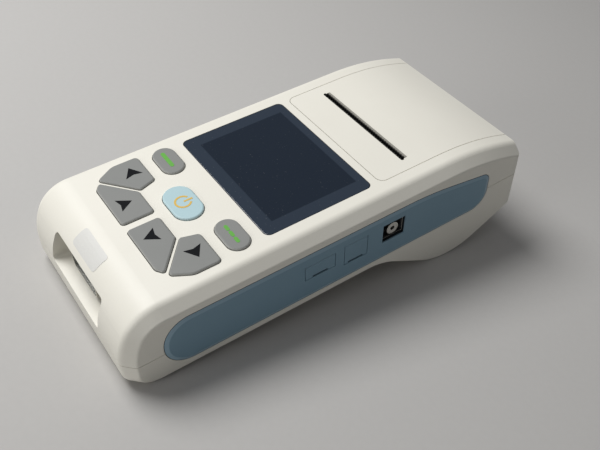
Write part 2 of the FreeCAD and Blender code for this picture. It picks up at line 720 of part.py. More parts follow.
def bottom_case():
    """Lower shell with the belly: posts for case, boards and printer, roll cheeks, battery hatch."""
    half_box = prism(
        "lower_half", "top", d.parting_height - REACH * 2, REACH * 2,
        rectangle(-REACH, REACH, -OVER, d.case_length + OVER),
    )
    shell = boolean("Common", "lower_shell", skin, half_box)
    deep = -d.belly_depth - OVER
    posts = columns("case_columns", case_posts(), d.case_post_radius, deep, d.parting_height)
    boards = columns("board_columns", board_posts(), d.board_post_radius, deep, d.board_under)
    bases = columns("printer_columns", base_posts(), d.base_post_radius, deep, d.base_height)
    bosses = columns("door_bosses", door_screws(), d.door_boss_radius, d.wall / 2, d.wall + d.door_boss_tall)
    jack_half = d.jack_width / 2
    shelf = prism(
        "jack_shelf", "side", inner_half - d.jack_depth, d.jack_depth,
        rectangle(
            d.jack_along - jack_half, d.jack_along + jack_half, deep,
            d.jack_height - d.jack_tall / 2 + d.jack_margin,
        ),
    )
    cheeks = []
    for name, start in (
        ("left_bay_cheek", -d.bay_cheek_inside - d.bay_cheek_thick), ("right_bay_cheek", d.bay_cheek_inside)
    ):
        cheek = Piece(name).pad(
            "side", start, d.bay_cheek_thick,
            outline([
                (roll_along - d.bay_cheek_foot, deep), (roll_along + d.bay_cheek_foot, deep),
                (roll_along + d.bay_cheek_half, d.roll_height + d.bay_cheek_rise),
                (roll_along - d.bay_cheek_half, d.roll_height + d.bay_cheek_rise),
            ]),
        )
        slot = d.spindle_radius + d.spindle_play
        cheek.cut(
            "side", start, d.bay_cheek_thick,
            outline(
                [(roll_along - slot, d.roll_height - slot), (roll_along + slot, d.roll_height - slot),
                 (roll_along + slot, d.roll_height + REACH), (roll_along - slot, d.roll_height + REACH)],
                {0: slot - ROUND_SLACK, 1: slot - ROUND_SLACK},
            ),
        )
        cheeks.append(cheek.body)
    ribs = joined("lower_ribs", posts, boards, bases, bosses, shelf, *cheeks)
    inside = boolean("Common", "lower_inside", ribs, form)
    well, bore = d.screw_head_radius + d.head_play, d.screw_radius + d.screw_play
    heads = columns("case_head_wells", case_posts(), well, deep - OVER, d.head_seat)
    shanks = columns("case_shanks", case_posts(), bore, deep, d.parting_height + OVER)
    board_pilots = columns(
        "board_pilots", board_posts(), bore,
        d.board_under + d.board_thick - d.short_screw - d.pilot_over, d.board_under + OVER,
    )
    base_pilots = columns(
        "base_pilots", base_posts(), bore,
        d.base_height + d.base_thick - d.short_screw - d.pilot_over, d.base_height + OVER,
    )
    door_pilots = columns(
        "door_pilots", door_screws(), bore, -OVER, d.door_head_seat + d.short_screw + d.pilot_over
    )
    wide, gap = door_half, d.door_gap
    hatch = Piece("battery_hatch")
    hatch.pad(
        "top", -OVER, d.door_plate + OVER,
        rectangle(-wide - gap, wide + gap, door_front - gap, door_back + gap, d.door_round),
    )
    hatch.pad(
        "top", 0, d.wall + OVER,
        rectangle(
            d.door_ledge - wide, wide - d.door_ledge, door_front + d.door_end_ledge,
            door_back - d.door_end_ledge, d.inner_round,
        ),
    )
    tools = joined(
        "lower_tools", heads, shanks, board_pilots, base_pilots, door_pilots, hatch.body, side_holes,
        seat_right, seat_left,
    )
    keep("bottom_case", boolean("Cut", "bottom_case", joined("lower_solid", shell, inside), tools))


def printer_cover():
    """Lid over the paper bay: a skin that follows the case, ending in the hinge barrel at the back."""
    half = d.cover_half
    region = Piece("cover_region")
    region.pad(
        "top", hinge_height + d.hinge_radius + d.knuckle_gap, REACH,
        outline(
            [(-half, cover_front), (half, cover_front), (half, d.case_length + OVER),
             (-half, d.case_length + OVER)],
            {0: d.cover_round, 1: d.cover_round},
        ),
    )
    region.pad(
        "top", hinge_height, REACH,
        rectangle(-d.barrel_half, d.barrel_half, slot_along, d.case_length + OVER),
    )
    lid = boolean("Common", "cover_skin", skin, region.body)
    barrel = prism(
        "cover_barrel", "side", -d.barrel_half, d.barrel_half * 2,
        disc(hinge_along, hinge_height, d.hinge_radius),
    )
    bore = prism(
        "cover_bore", "side", -d.barrel_half - OVER, (d.barrel_half + OVER) * 2,
        disc(hinge_along, hinge_height, d.hinge_pin + d.hinge_play),
    )
    long, wide = d.slot_length / 2, d.slot_width / 2
    slot = prism(
        "paper_slot", "top", ceiling - OVER, d.wall + OVER * 2,
        rectangle(-long, long, slot_along - wide, slot_along + wide, wide - ROUND_SLACK),
    )
    seat = prism(
        "tear_bar_seat", "top", d.case_height - d.tear_deep, d.tear_deep + OVER, tear_outline(d.tear_gap)
    )
    tools = joined("cover_tools", bore, slot, seat)
    keep("printer_cover", boolean("Cut", "printer_cover", joined("cover_solid", lid, barrel), tools))


def tear_outline(gap):
    half = d.slot_length / 2 - d.slot_width / 2
    front = slot_along + d.slot_width / 2
    return rectangle(-half - gap, half + gap, front - gap, front + d.tear_wide + gap)


def tear_bar():
    """Serrated bar along the far lip of the paper slot."""
    low, tall = d.case_height - d.tear_deep, d.tear_deep + d.tear_rise
    piece = Piece("tear_bar").pad("top", low, tall, tear_outline(0))
    front = slot_along + d.slot_width / 2
    first = -d.tear_pitch * (d.tear_count - 1) / 2
    bite = d.tear_bite
    piece.cut(
        "top", low, tall,
        outline([(first - bite, front), (first + bite, front), (first, front + d.tear_tooth)]),
    )
    piece.repeat_across(d.tear_count, d.tear_pitch * (d.tear_count - 1))
    keep("tear_bar", piece.body)


def hinge_pin():
    half = d.cover_half
    keep("cover_hinge_pin", prism(
        "cover_hinge_pin", "side", -half, half * 2, disc(hinge_along, hinge_height, d.hinge_pin)
    ))


def display():
    """Window, panel and the sheet-metal tray with legs that stands on the main board."""
    half, front = d.window_width / 2, d.window_front
    back = front + d.window_length
    window = Piece("display_window").pad(
        "top", d.case_height - d.window_thick, d.window_thick,
        rectangle(-half, half, front, back, d.window_round),
    )
    window.soften(d.window_edge, lambda e: touches(e, z=d.case_height))
    keep("display_window", window.body)
    wide = panel_half
    low, high = front + d.panel_end / 2, back - d.panel_end / 2
    panel_top = ceiling - d.frame_drop
    panel_low = panel_top - d.panel_thick
    keep("display_panel", prism(
        "display_panel", "top", panel_low, d.panel_thick, rectangle(-wide, wide, low, high)
    ))
    sheet_gap = d.frame_sheet + d.frame_gap
    tray = Piece("display_frame").pad(
        "top", panel_low - d.frame_sheet, d.panel_thick + d.frame_sheet,
        rectangle(-wide - sheet_gap, wide + sheet_gap, low - sheet_gap, high + sheet_gap),
    )
    gap = d.frame_gap
    tray.cut(
        "top", panel_low, d.panel_thick + OVER, rectangle(-wide - gap, wide + gap, low - gap, high + gap)
    )
    board_top = d.board_under + d.board_thick
    legs = [
        disc(d.leg_across * side, along, d.leg_radius)
        for side in (-1, 1)
        for along in (low + d.leg_inset, high - d.leg_inset)
    ]
    tray.pad("top", board_top, panel_low - d.frame_sheet - board_top, *legs)
    keep("display_frame", tray.body)


def keys():
    """Seven keys, each with a retaining lip under the top wall."""
    for name, (points, rounds) in KEYS.items():
        key = Piece(name).pad("top", key_under, d.lip_thick, grown(points, rounds, d.key_lip))
        top = d.case_height + d.key_rise
        key.pad("top", key_under, top - key_under, outline(points, rounds))
        key.soften(d.key_edge, lambda e: touches(e, z=top))
        keep(name, key.body)


def key_mat():
    """Silicone mat with a dome under each key, on the key board."""
    wide = d.key_board_width / 2 - d.mat_side
    clear = d.key_post_inset + d.key_post_radius + d.mat_clear
    mat = Piece("key_mat").pad(
        "top", key_board_top, d.mat_thick,
        rectangle(-wide, wide, key_board_front + clear, key_board_back - clear, d.board_round),
    )
    domes = [disc(*middle_of(points), d.dome_radius) for points, _ in KEYS.values()]
    mat.pad("top", key_board_top + d.mat_thick, d.dome_rise, *domes)
    keep("key_mat", mat.body)


def boards():
    wide = d.key_board_width / 2
    holes = [disc(x, y, d.screw_radius + d.screw_play) for x, y in key_posts()]
    keep("key_board", prism(
        "key_board", "top", key_board_top - d.key_board_thick, d.key_board_thick,
        rectangle(-wide, wide, key_board_front, key_board_back, d.board_round), *holes,
    ))
    holes = [disc(x, y, d.screw_radius + d.screw_play) for x, y in board_posts()]
    keep("main_board", prism(
        "main_board", "top", d.board_under, d.board_thick,
        rectangle(-board_half, board_half, board_front, board_back, d.board_round), *holes,
    ))
    keep("buzzer", prism(
        "buzzer", "top", d.board_under - d.buzzer_height, d.buzzer_height,
        disc(d.buzzer_across, d.buzzer_along, d.buzzer_radius),
        disc(d.buzzer_across, d.buzzer_along, d.buzzer_hole),
    ))


def screws(name, places, seat, length, upward, tall):
    """Screws with round heads; the seat is the height of the face under their heads."""
    shanks = [disc(x, y, d.screw_radius) for x, y in places]
    heads = [disc(x, y, d.screw_head_radius) for x, y in places]
    bodies = []
    for number, (shank, head) in enumerate(zip(shanks, heads)):
        screw = Piece("%s_%d" % (name, number))
        screw.pad("top", seat if upward else seat - length, length, shank)
        screw.pad("top", seat - tall if upward else seat, tall, head)
        bodies.append(screw.body)
    group = doc.addObject("Part::Compound", name)
    group.Links = bodies
    keep(name, group)


def fasteners():
    tall = d.screw_head_tall
    screws("case_screws", case_posts(), d.head_seat, d.screw_length, True, tall)
    screws("board_screws", board_posts(), d.board_under + d.board_thick, d.short_screw, False, tall)
    screws("key_board_screws", key_posts(), key_board_top - d.key_board_thick, d.peg_screw, True, tall)
    screws("printer_screws", base_posts(), d.base_height + d.base_thick, d.short_screw, False, tall)
    screws("battery_door_screws", door_screws(), d.door_head_seat, d.short_screw, True, d.door_head_tall)


def side_strips():
    """Blue strips let into both sides; the right one has the jack opening and the flap openings."""
    points, rounds = strip_points(0)
    thick = d.strip_seat + d.strip_proud
    right = Piece("right_side_strip").pad("side", strip_floor, thick, outline(points, rounds))
    right.bevel(d.strip_edge, lambda e: touches(e, x=strip_face))
    gap = d.flap_gap
    openings = [
        oval(d.jack_along, d.jack_height, d.jack_width, d.jack_tall),
        oval(d.card_along, d.card_height, d.card_flap_width + gap * 2, d.card_flap_tall + gap * 2),
        oval(d.data_along, d.data_height, d.data_flap_width + gap * 2, d.data_flap_tall + gap * 2),
    ]
    right.cut("side", strip_floor, thick, *[outline(o) for o in openings])
    keep("right_side_strip", right.body)
    left = Piece("left_side_strip").pad("side", -strip_face, thick, outline(points, rounds))
    left.bevel(d.strip_edge, lambda e: touches(e, x=strip_face))
    keep("left_side_strip", left.body)


def port_flap(name, along, height, width, tall, plug_width, plug_tall):
    """Flap in the right strip: a hinge bead on top, a plug behind and a nail notch at the foot."""
    inside = strip_floor + d.flap_inside
    top = height + tall / 2
    bead_up, bead_out = top - d.flap_bead, strip_face - d.flap_bead
    low, left = height - tall / 2, along - width / 2
    flap = Piece(name).pad("front", left, width, disc(bead_out, bead_up, d.flap_bead))
    flap.pad("front", left, width, rectangle(inside, strip_face, low, bead_up))
    half, rise = plug_width / 2 - d.plug_gap, plug_tall / 2 - d.plug_gap
    flap.pad(
        "side", inside - d.plug_depth, d.plug_depth,
        rectangle(along - half, along + half, height - rise, height + rise),
    )
    nail = d.nail_width / 2
    flap.cut(
        "side", strip_face - d.nail_deep, d.nail_deep,
        rectangle(along - nail, along + nail, low, low + d.nail_tall),
    )
    keep(name, flap.body)


def port_flaps():
    port_flap(
        "card_port_flap", d.card_along, d.card_height, d.card_flap_width, d.card_flap_tall,
        d.card_slot_width, d.card_slot_tall,
    )
    port_flap(
        "data_port_flap", d.data_along, d.data_height, d.data_flap_width, d.data_flap_tall,
        d.data_mouth_width, d.data_mouth_tall,
    )


def power_jack():
    wide, tall = d.jack_width / 2 - d.jack_margin, d.jack_tall / 2 - d.jack_margin
    along, height, rim = d.jack_along, d.jack_height, d.jack_rim
    body = Piece("power_jack_body").pad(
        "side", inner_half - d.jack_depth, d.jack_depth + strip_floor - inner_half,
        rectangle(along - wide, along + wide, height - tall, height + tall, d.small_round),
    )
    body.cut(
        "side", inner_half, strip_floor - inner_half,
        rectangle(along - wide + rim, along + wide - rim, height - tall + rim, height + tall - rim),
    )
    keep("power_jack_body", body.body)
    sleeve = Piece("power_jack_sleeve").pad(
        "side", inner_half, d.sleeve_reach, disc(d.jack_along, d.jack_height, d.sleeve_radius),
        disc(d.jack_along, d.jack_height, d.sleeve_bore),
    )
    keep("power_jack_sleeve", sleeve.body)


def data_socket():
    """Squarish data socket behind its flap, hung from the main board."""
    side = d.data_wall
    wide, low = d.data_mouth_width / 2, d.data_height - d.data_mouth_tall / 2
    high = d.data_height + d.data_mouth_tall / 2
    start = inner_half - d.data_depth
    shell = Piece("data_socket_shell").pad(
        "side", start, d.data_depth,
        rectangle(d.data_along - wide - side, d.data_along + wide + side, low - side, d.board_under),
    )
    shell.cut(
        "side", start + side, d.data_depth,
        rectangle(d.data_along - wide, d.data_along + wide, low, high, d.small_round),
    )
    keep("data_socket_shell", shell.body)
    half, rise = d.tongue_width / 2, d.tongue_tall / 2
    keep("data_socket_tongue", prism(
        "data_socket_tongue", "side", start + side, d.data_depth - side - d.tongue_short,
        rectangle(d.data_along - half, d.data_along + half, d.data_height - rise, d.data_height + rise),
    ))


def card_socket():
    """Flat card socket on four legs under the main board."""
    wide, rise, wall, leg = d.card_slot_width / 2, d.card_slot_tall / 2, d.card_wall, d.card_leg
    start = inner_half - d.card_depth
    socket = Piece("card_socket").pad(
        "side", start, d.card_depth,
        rectangle(
            d.card_along - wide - wall, d.card_along + wide + wall, d.card_height - rise - wall,
            d.card_height + rise + wall,
        ),
    )
    socket.cut(
        "side", start + wall, d.card_depth,
        rectangle(d.card_along - wide, d.card_along + wide, d.card_height - rise, d.card_height + rise),
    )
    top = d.card_height + rise + wall / 2
    legs = [
        rectangle(across, across + leg, along, along + leg)
        for across in (start, start + d.card_leg_step)
        for along in (d.card_along - wide - wall, d.card_along + wide + wall - leg)
    ]
    socket.pad("top", top, d.board_under - top, *legs)
    keep("card_socket", socket.body)


def lead_shape(width, height, gap):
    """Keystone outline of the lead socket, wider at the top."""
    half, low, high = width / 2, socket_height - height / 2, socket_height + height / 2
    points = [(d.shell_taper - half, low), (half - d.shell_taper, low), (half, high), (-half, high)]
    return outline(inset(points, gap), {i: d.shell_round - gap for i in range(4)})


def lead_socket():
    """Fifteen-way patient lead socket in the nose recess."""
    seat = d.recess_depth - d.flange_thick
    half, tall = flange_half, d.flange_height / 2
    shell = Piece("lead_socket_shell").pad(
        "front", seat, d.flange_thick,
        rectangle(-half, half, socket_height - tall, socket_height + tall, d.flange_round),
        lead_shape(d.shell_width, d.shell_height, d.shell_wall),
        *[disc(post_across * side, socket_height, d.post_hole) for side in (-1, 1)],
    )
    shell.pad(
        "front", seat - d.shell_reach, d.shell_reach,
        lead_shape(d.shell_width, d.shell_height, 0), lead_shape(d.shell_width, d.shell_height, d.shell_wall),
    )
    keep("lead_socket_shell", shell.body)
    face = seat - d.shell_reach + d.insert_drop
    insert = Piece("lead_socket_insert").pad(
        "front", face, d.recess_depth - face,
        lead_shape(d.shell_width, d.shell_height, d.shell_wall + d.screw_play),
    )
    inner = d.shell_width / 2 - d.shell_wall - d.insert_gap
    rise = d.shell_height / 2 - d.insert_gap
    insert.pad(
        "front", d.recess_depth, d.insert_back,
        rectangle(-inner, inner, socket_height - rise, socket_height + rise),
    )
    rows = [(8, 0.5), (7, -0.5)]
    contacts = [
        disc(
            d.contact_pitch * (place - (count - 1) / 2), socket_height + d.contact_row * row, d.contact_radius
        )
        for count, row in rows for place in range(count)
    ]
    insert.cut("front", face, d.contact_deep, *contacts)
    keep("lead_socket_insert", insert.body)
    posts = []
    for name, side in (("left_lead_post", -1), ("right_lead_post", 1)):
        across = post_across * side
        corners = [(math.cos(math.radians(60 * k)), math.sin(math.radians(60 * k))) for k in range(6)]
        post = Piece(name).pad(
            "front", seat - d.post_reach, d.post_reach,
            outline([(across + d.post_radius * c, socket_height + d.post_radius * s) for c, s in corners]),
            disc(across, socket_height, d.post_thread),
        )
        posts.append(post.body)
    group = doc.addObject("Part::Compound", "lead_socket_posts")
    group.Links = posts
    keep("lead_socket_posts", group)


def battery():
    """Two round cells side by side in one wrap, over a screwed hatch door."""
    bottom = d.door_plate + d.wall / 2 + d.battery_lift
    across = d.cell_diameter * 2
    keep("battery_pack", prism(
        "battery_pack", "side", -d.battery_length / 2, d.battery_length,
        rectangle(
            d.battery_front, d.battery_front + across, bottom, bottom + d.cell_diameter,
            d.cell_diameter / 2 - ROUND_SLACK,
        ),
    ))
    wide = door_half
    holes = [disc(x, y, d.screw_radius + d.screw_play) for x, y in door_screws()]
    door = Piece("battery_door").pad(
        "top", 0, d.door_plate, rectangle(-wide, wide, door_front, door_back, d.door_round), *holes
    )
    edge = d.door_ledge + d.door_gap
    door.pad(
        "top", d.door_plate, d.wall / 2,
        rectangle(
            edge - wide, wide - edge, door_front + d.door_end_ledge + d.door_gap,
            door_back - d.door_end_ledge - d.door_gap, d.inner_round,
        ),
    )
    wells = [disc(x, y, d.screw_head_radius + d.head_play) for x, y in door_screws()]
    door.cut("top", 0, d.door_head_seat, *wells)
    keep("battery_door", door.body)


def printer_frame():
    """Folded bracket of the recorder: two cheeks on a base, braced in front of the head."""
    inside, thick = d.cheek_inside, d.cheek_thick
    frame = Piece("printer_frame").pad(
        "top", d.base_height, d.base_thick,
        rectangle(-inside - thick, inside + thick, cheek_front, base_back),
        *[disc(x, y, d.screw_radius + d.screw_play) for x, y in base_posts()],
    )
    cheek_back = platen_along + d.cheek_tail
    rear = [
        (cheek_front, d.base_height), (cheek_back, d.base_height), (cheek_back, d.cheek_top),
        (slot_along - d.cheek_shoulder, d.cheek_top), (brace_front, d.cheek_low_top),
    ]
    motor_end = [
        (motor_front, d.cheek_low_top), (motor_front, d.motor_cheek_low),
        (cheek_front, d.motor_cheek_low),
    ]
    starts = (-inside - thick, inside)
    for start, front in zip(starts, (motor_end, [(cheek_front, d.cheek_low_top)])):
        frame.pad("side", start, thick, outline(rear + front))
    frame.pad(
        "front", brace_front, d.brace_thick, rectangle(-inside, inside, d.base_height, d.brace_top)
    )
    for start in starts:
        frame.cut("side", start, thick, disc(platen_along, d.platen_height, d.bush_radius + d.bush_play))
    frame.cut(
        "side", -inside - thick, thick, disc(*idler_place(), d.axle_radius),
        disc(*pinion_place(), d.motor_boss + d.frame_gap),
    )
    keep("printer_frame", frame.body)


def gear(name, teeth, bore, place, phase):
    """Spur gear about its own X axis; phase is the angle of its first tooth from +Y."""
    pitch = pitch_radius(teeth)
    foot = pitch - d.dedendum
    piece = Piece(name).pad("side", 0, d.gear_face, disc(0, 0, foot), disc(0, 0, bore))
    start = foot - d.tooth_sink
    piece.pad(
        "side", 0, d.gear_face,
        outline([
            (start, -d.tooth_root / 2), (pitch, -d.tooth_thick / 2), (pitch + d.addendum, -d.tooth_tip / 2),
            (pitch + d.addendum, d.tooth_tip / 2), (pitch, d.tooth_thick / 2), (start, d.tooth_root / 2),
        ]),
    )
    piece.repeat_around(teeth)
    spot = FreeCAD.Vector(-d.gear_inside.number - d.gear_face.number, place[0].number, place[1].number)
    keep(name, piece.body, FreeCAD.Placement(spot, FreeCAD.Rotation(FreeCAD.Vector(1, 0, 0), phase)))


def mesh_phase(first_place, first_teeth, first_phase, next_place, next_teeth):
    """Phase of the next gear that puts its gap where the first gear's tooth is."""
    way = math.degrees(
        math.atan2(next_place[1].number - first_place[1].number, next_place[0].number - first_place[0].number)
    )
    share = (way - first_phase) * first_teeth.number / 360
    return way + 180 - 360 / next_teeth.number * (0.5 - share)


def gear_train():
    platen = (platen_along, d.platen_height)
    idler, pinion = idler_place(), pinion_place()
    idler_phase = mesh_phase(platen, d.platen_teeth, 0, idler, d.idler_teeth)
    pinion_phase = mesh_phase(idler, d.idler_teeth, idler_phase, pinion, d.pinion_teeth)
    gear("platen_gear", d.platen_teeth, d.shaft_radius, platen, 0)
    gear("idler_gear", d.idler_teeth, d.axle_radius + d.shaft_play, idler, idler_phase)
    gear("motor_pinion", d.pinion_teeth, d.motor_shaft, pinion, pinion_phase)
    outside = d.cheek_inside + d.cheek_thick
    end = d.gear_inside + d.gear_face + d.gear_float + d.axle_head
    axle = Piece("idler_axle").pad("side", -end, end - d.cheek_inside, disc(*idler, d.axle_radius))
    collar = d.gear_inside - d.gear_float
    axle.pad("side", -end, d.axle_head, disc(*idler, d.axle_radius + d.axle_collar))
    axle.pad("side", -collar, collar - outside, disc(*idler, d.axle_radius + d.axle_collar))
    keep("idler_axle", axle.body)
    motor = Piece("stepper_motor").pad("side", -d.cheek_inside, d.motor_length, disc(*pinion, d.motor_radius))
    mouth = outside + d.motor_boss_reach
    motor.pad("side", -mouth, mouth - d.cheek_inside, disc(*pinion, d.motor_boss))
    motor.cut("side", -mouth, d.motor_bore, disc(*pinion, d.motor_shaft + d.shaft_play))
    keep("stepper_motor", motor.body)
    shaft_end = d.gear_inside + d.gear_face
    keep("motor_shaft", prism(
        "motor_shaft", "side", -shaft_end, shaft_end - mouth + d.motor_bore - d.gear_float,
        disc(*pinion, d.motor_shaft),
    ))


def platen():
    """Rubber roller on a steel shaft that turns in two flanged bushes."""
    place = (platen_along, d.platen_height)
    end = d.gear_inside + d.gear_face
    outside = d.cheek_inside + d.cheek_thick
    keep("platen_shaft", prism(
        "platen_shaft", "side", -end, end + outside + d.shaft_over, disc(*place, d.shaft_radius)
    ))
    keep("platen_roller", prism(
        "platen_roller", "side", -d.platen_half, d.platen_half * 2, disc(*place, d.platen_radius),
        disc(*place, d.shaft_radius),
    ))
    bushes = []
    bore = d.shaft_radius + d.shaft_play
    for name, start, lip in (
        ("left_bush", -outside, -d.cheek_inside),
        ("right_bush", d.cheek_inside, d.cheek_inside - d.flange_sheet),
    ):
        bush = Piece(name).pad("side", start, d.cheek_thick, disc(*place, d.bush_radius), disc(*place, bore))
        bush.pad("side", lip, d.flange_sheet, disc(*place, d.bush_flange), disc(*place, bore))
        bushes.append(bush.body)
    group = doc.addObject("Part::Compound", "platen_bushes")
    group.Links = bushes
    keep("platen_bushes", group)


def thermal_head():
    """Print head on its plate in front of the platen, pressed by a leaf spring."""
    back = head_back
    half = d.cheek_inside - d.head_side_gap
    head = Piece("thermal_head").pad(
        "front", back, d.head_plate, rectangle(-half, half, d.head_low, d.head_high, d.inner_round)
    )
    head.pad(
        "front", back + d.head_plate, d.head_strip,
        rectangle(-d.platen_half, d.platen_half, d.head_strip_low, d.head_strip_high),
    )
    keep("thermal_head", head.body)
    root_face, tip = brace_front + d.brace_thick, back - d.spring_gap
    leaf = d.spring_sheet
    keep("head_spring", prism(
        "head_spring", "side", -d.spring_half, d.spring_half * 2,
        outline([
            (root_face, d.spring_low), (root_face + leaf, d.spring_low), (root_face + leaf, d.spring_bend),
            (tip, d.spring_tip), (tip, d.spring_top), (tip - leaf, d.spring_top),
            (tip - leaf, d.spring_tip + leaf), (root_face, d.spring_bend + leaf),
        ]),
    ))


def paper():
    """Paper roll on its core, carried by a spindle that drops into the bay cheeks."""
    place = (roll_along, d.roll_height)
    keep("paper_roll", prism(
        "paper_roll", "side", -d.roll_half, d.roll_half * 2, disc(*place, d.roll_radius),
        disc(*place, d.core_radius),
    ))
    keep("paper_core", prism(
        "paper_core", "side", -d.roll_half, d.roll_half * 2, disc(*place, d.core_radius),
        disc(*place, d.core_bore),
    ))
    spindle = Piece("paper_spindle").pad(
        "side", -d.spindle_half, d.spindle_half * 2, disc(*place, d.spindle_radius)
    )
    shoulder = d.roll_half + d.spindle_shoulder
    spindle.pad("side", -shoulder, shoulder * 2, disc(*place, d.core_bore))
    keep("paper_spindle", spindle.body)


def rest_pose():
    """Tilt and shift that stand the machine on its front edge and belly, centred over the origin."""
    points = [FreeCAD.Vector(y.number, z.number, 0) for y, z in side_profile(0)]
    before, apex, after = points[1], points[2], points[3]
    one, two = (apex - before).normalize(), (after - apex).normalize()
    up = FreeCAD.Vector(-one.y - two.y, one.x + two.x, 0)
    belly = apex + up * (d.belly_round.number / (one.dot(two) + 1))
    foot = FreeCAD.Vector(d.foot_round.number, d.foot_round.number, 0)
    span = belly - foot
    tilt = math.asin((d.belly_round.number - d.foot_round.number) / span.Length) - math.atan2(span.y, span.x)
    turn = FreeCAD.Placement(FreeCAD.Vector(), FreeCAD.Rotation(FreeCAD.Vector(1, 0, 0), math.degrees(tilt)))
    solid = form.Shape.copy()
    solid.Placement = turn
    box = solid.optimalBoundingBox(False, False)
    lift = FreeCAD.Vector(0, -(box.YMin + box.YMax) / 2, -box.ZMin)
    print("rest tilt %.6f shift %.6f %.6f" % (math.degrees(tilt), lift.y, lift.z))
    return FreeCAD.Placement(lift, turn.Rotation)


def check(things):
    """Stop on any failed object, and on any sub-part with no sound shape."""
    failed = [item.Name for item in things if {"Invalid", "Error"} & set(item.State)]
    unsound = [name for name, (item, _) in nodes.items() if item.Shape.isNull() or not item.Shape.isValid()]
    if failed or unsound:
        raise SystemExit("failed: %s unsound: %s" % (failed, unsound))


for make in (
    top_case, bottom_case, printer_cover, tear_bar, hinge_pin, display, keys, key_mat, boards, fasteners,
    side_strips, port_flaps, power_jack, data_socket, card_socket, lead_socket, battery, printer_frame,
    gear_train, platen, thermal_head, paper,
):
    make()
doc.recompute()
check(doc.Objects)
pose = rest_pose()
for thing, seat in nodes.values():
    thing.Placement = pose.multiply(seat)
doc.recompute()
check(doc.Objects)
os.makedirs("parts", exist_ok=True)
for name, (thing, _) in nodes.items():
    print("%-22s solids %d volume %.1f" % (name, len(thing.Shape.Solids), thing.Shape.Volume))
    thing.Shape.exportStep("parts/%s.step" % name)
print("%d sub-parts" % len(nodes))
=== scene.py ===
import json
import math

import bmesh
import bpy
from mathutils import Matrix, Vector
from mathutils.bvhtree import BVHTree


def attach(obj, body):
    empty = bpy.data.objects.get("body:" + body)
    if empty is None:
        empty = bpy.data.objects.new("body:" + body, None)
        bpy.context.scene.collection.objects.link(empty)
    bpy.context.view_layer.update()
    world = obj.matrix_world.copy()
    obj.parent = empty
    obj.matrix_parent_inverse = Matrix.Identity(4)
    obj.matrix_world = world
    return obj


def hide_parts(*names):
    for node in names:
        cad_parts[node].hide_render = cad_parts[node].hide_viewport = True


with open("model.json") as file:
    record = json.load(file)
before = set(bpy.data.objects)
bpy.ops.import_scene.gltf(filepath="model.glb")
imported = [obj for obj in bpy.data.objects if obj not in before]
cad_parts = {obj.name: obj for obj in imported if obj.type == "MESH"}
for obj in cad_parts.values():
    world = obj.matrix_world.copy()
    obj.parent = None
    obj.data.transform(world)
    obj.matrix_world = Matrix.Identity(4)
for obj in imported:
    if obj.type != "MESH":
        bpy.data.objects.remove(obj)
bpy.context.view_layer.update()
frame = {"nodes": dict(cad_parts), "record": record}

MM = 0.001

# The machine leans on its belly; its own frame has Y from the nose and Z from the flat underside
UNDERSIDE = next(mount for mount in frame["record"]["mounts"] if mount["name"] == "underside")
UNDERSIDE_ALONG = 107 * MM
TILT = math.atan2(UNDERSIDE["axis"][1], -UNDERSIDE["axis"][2])
TURN = Matrix.Rotation(TILT, 4, "X")
ORIGIN = Vector(UNDERSIDE["pos_m"]) - TURN @ Vector((0, UNDERSIDE_ALONG, 0))
DEVICE = Matrix.Translation(ORIGIN) @ TURN

# Faces of the pieces in the machine's own frame, in millimetres
TOP_FACE = 38.0
KEY_FACE = 39.0
STRIP_FACE = 48.6
STRIP_RIM = 0.6
TEAR_FRONT = 148.9


class Value:
    """A shader socket that takes part in Python expressions."""

    def __init__(self, finish, socket):
        self.finish = finish
        self.socket = socket

    def __add__(self, other):
        return self.finish.math("ADD", self, other)

    def __sub__(self, other):
        return self.finish.math("SUBTRACT", self, other)

    def __mul__(self, other):
        return self.finish.math("MULTIPLY", self, other)

    def __gt__(self, other):
        return self.finish.math("GREATER_THAN", self, other)

    def __lt__(self, other):
        return self.finish.math("LESS_THAN", self, other)

    __radd__ = __add__
    __rmul__ = __mul__

    def __rsub__(self, other):
        return self.finish.math("SUBTRACT", other, self)

    def size(self):
        return self.finish.math("ABSOLUTE", self, 0)


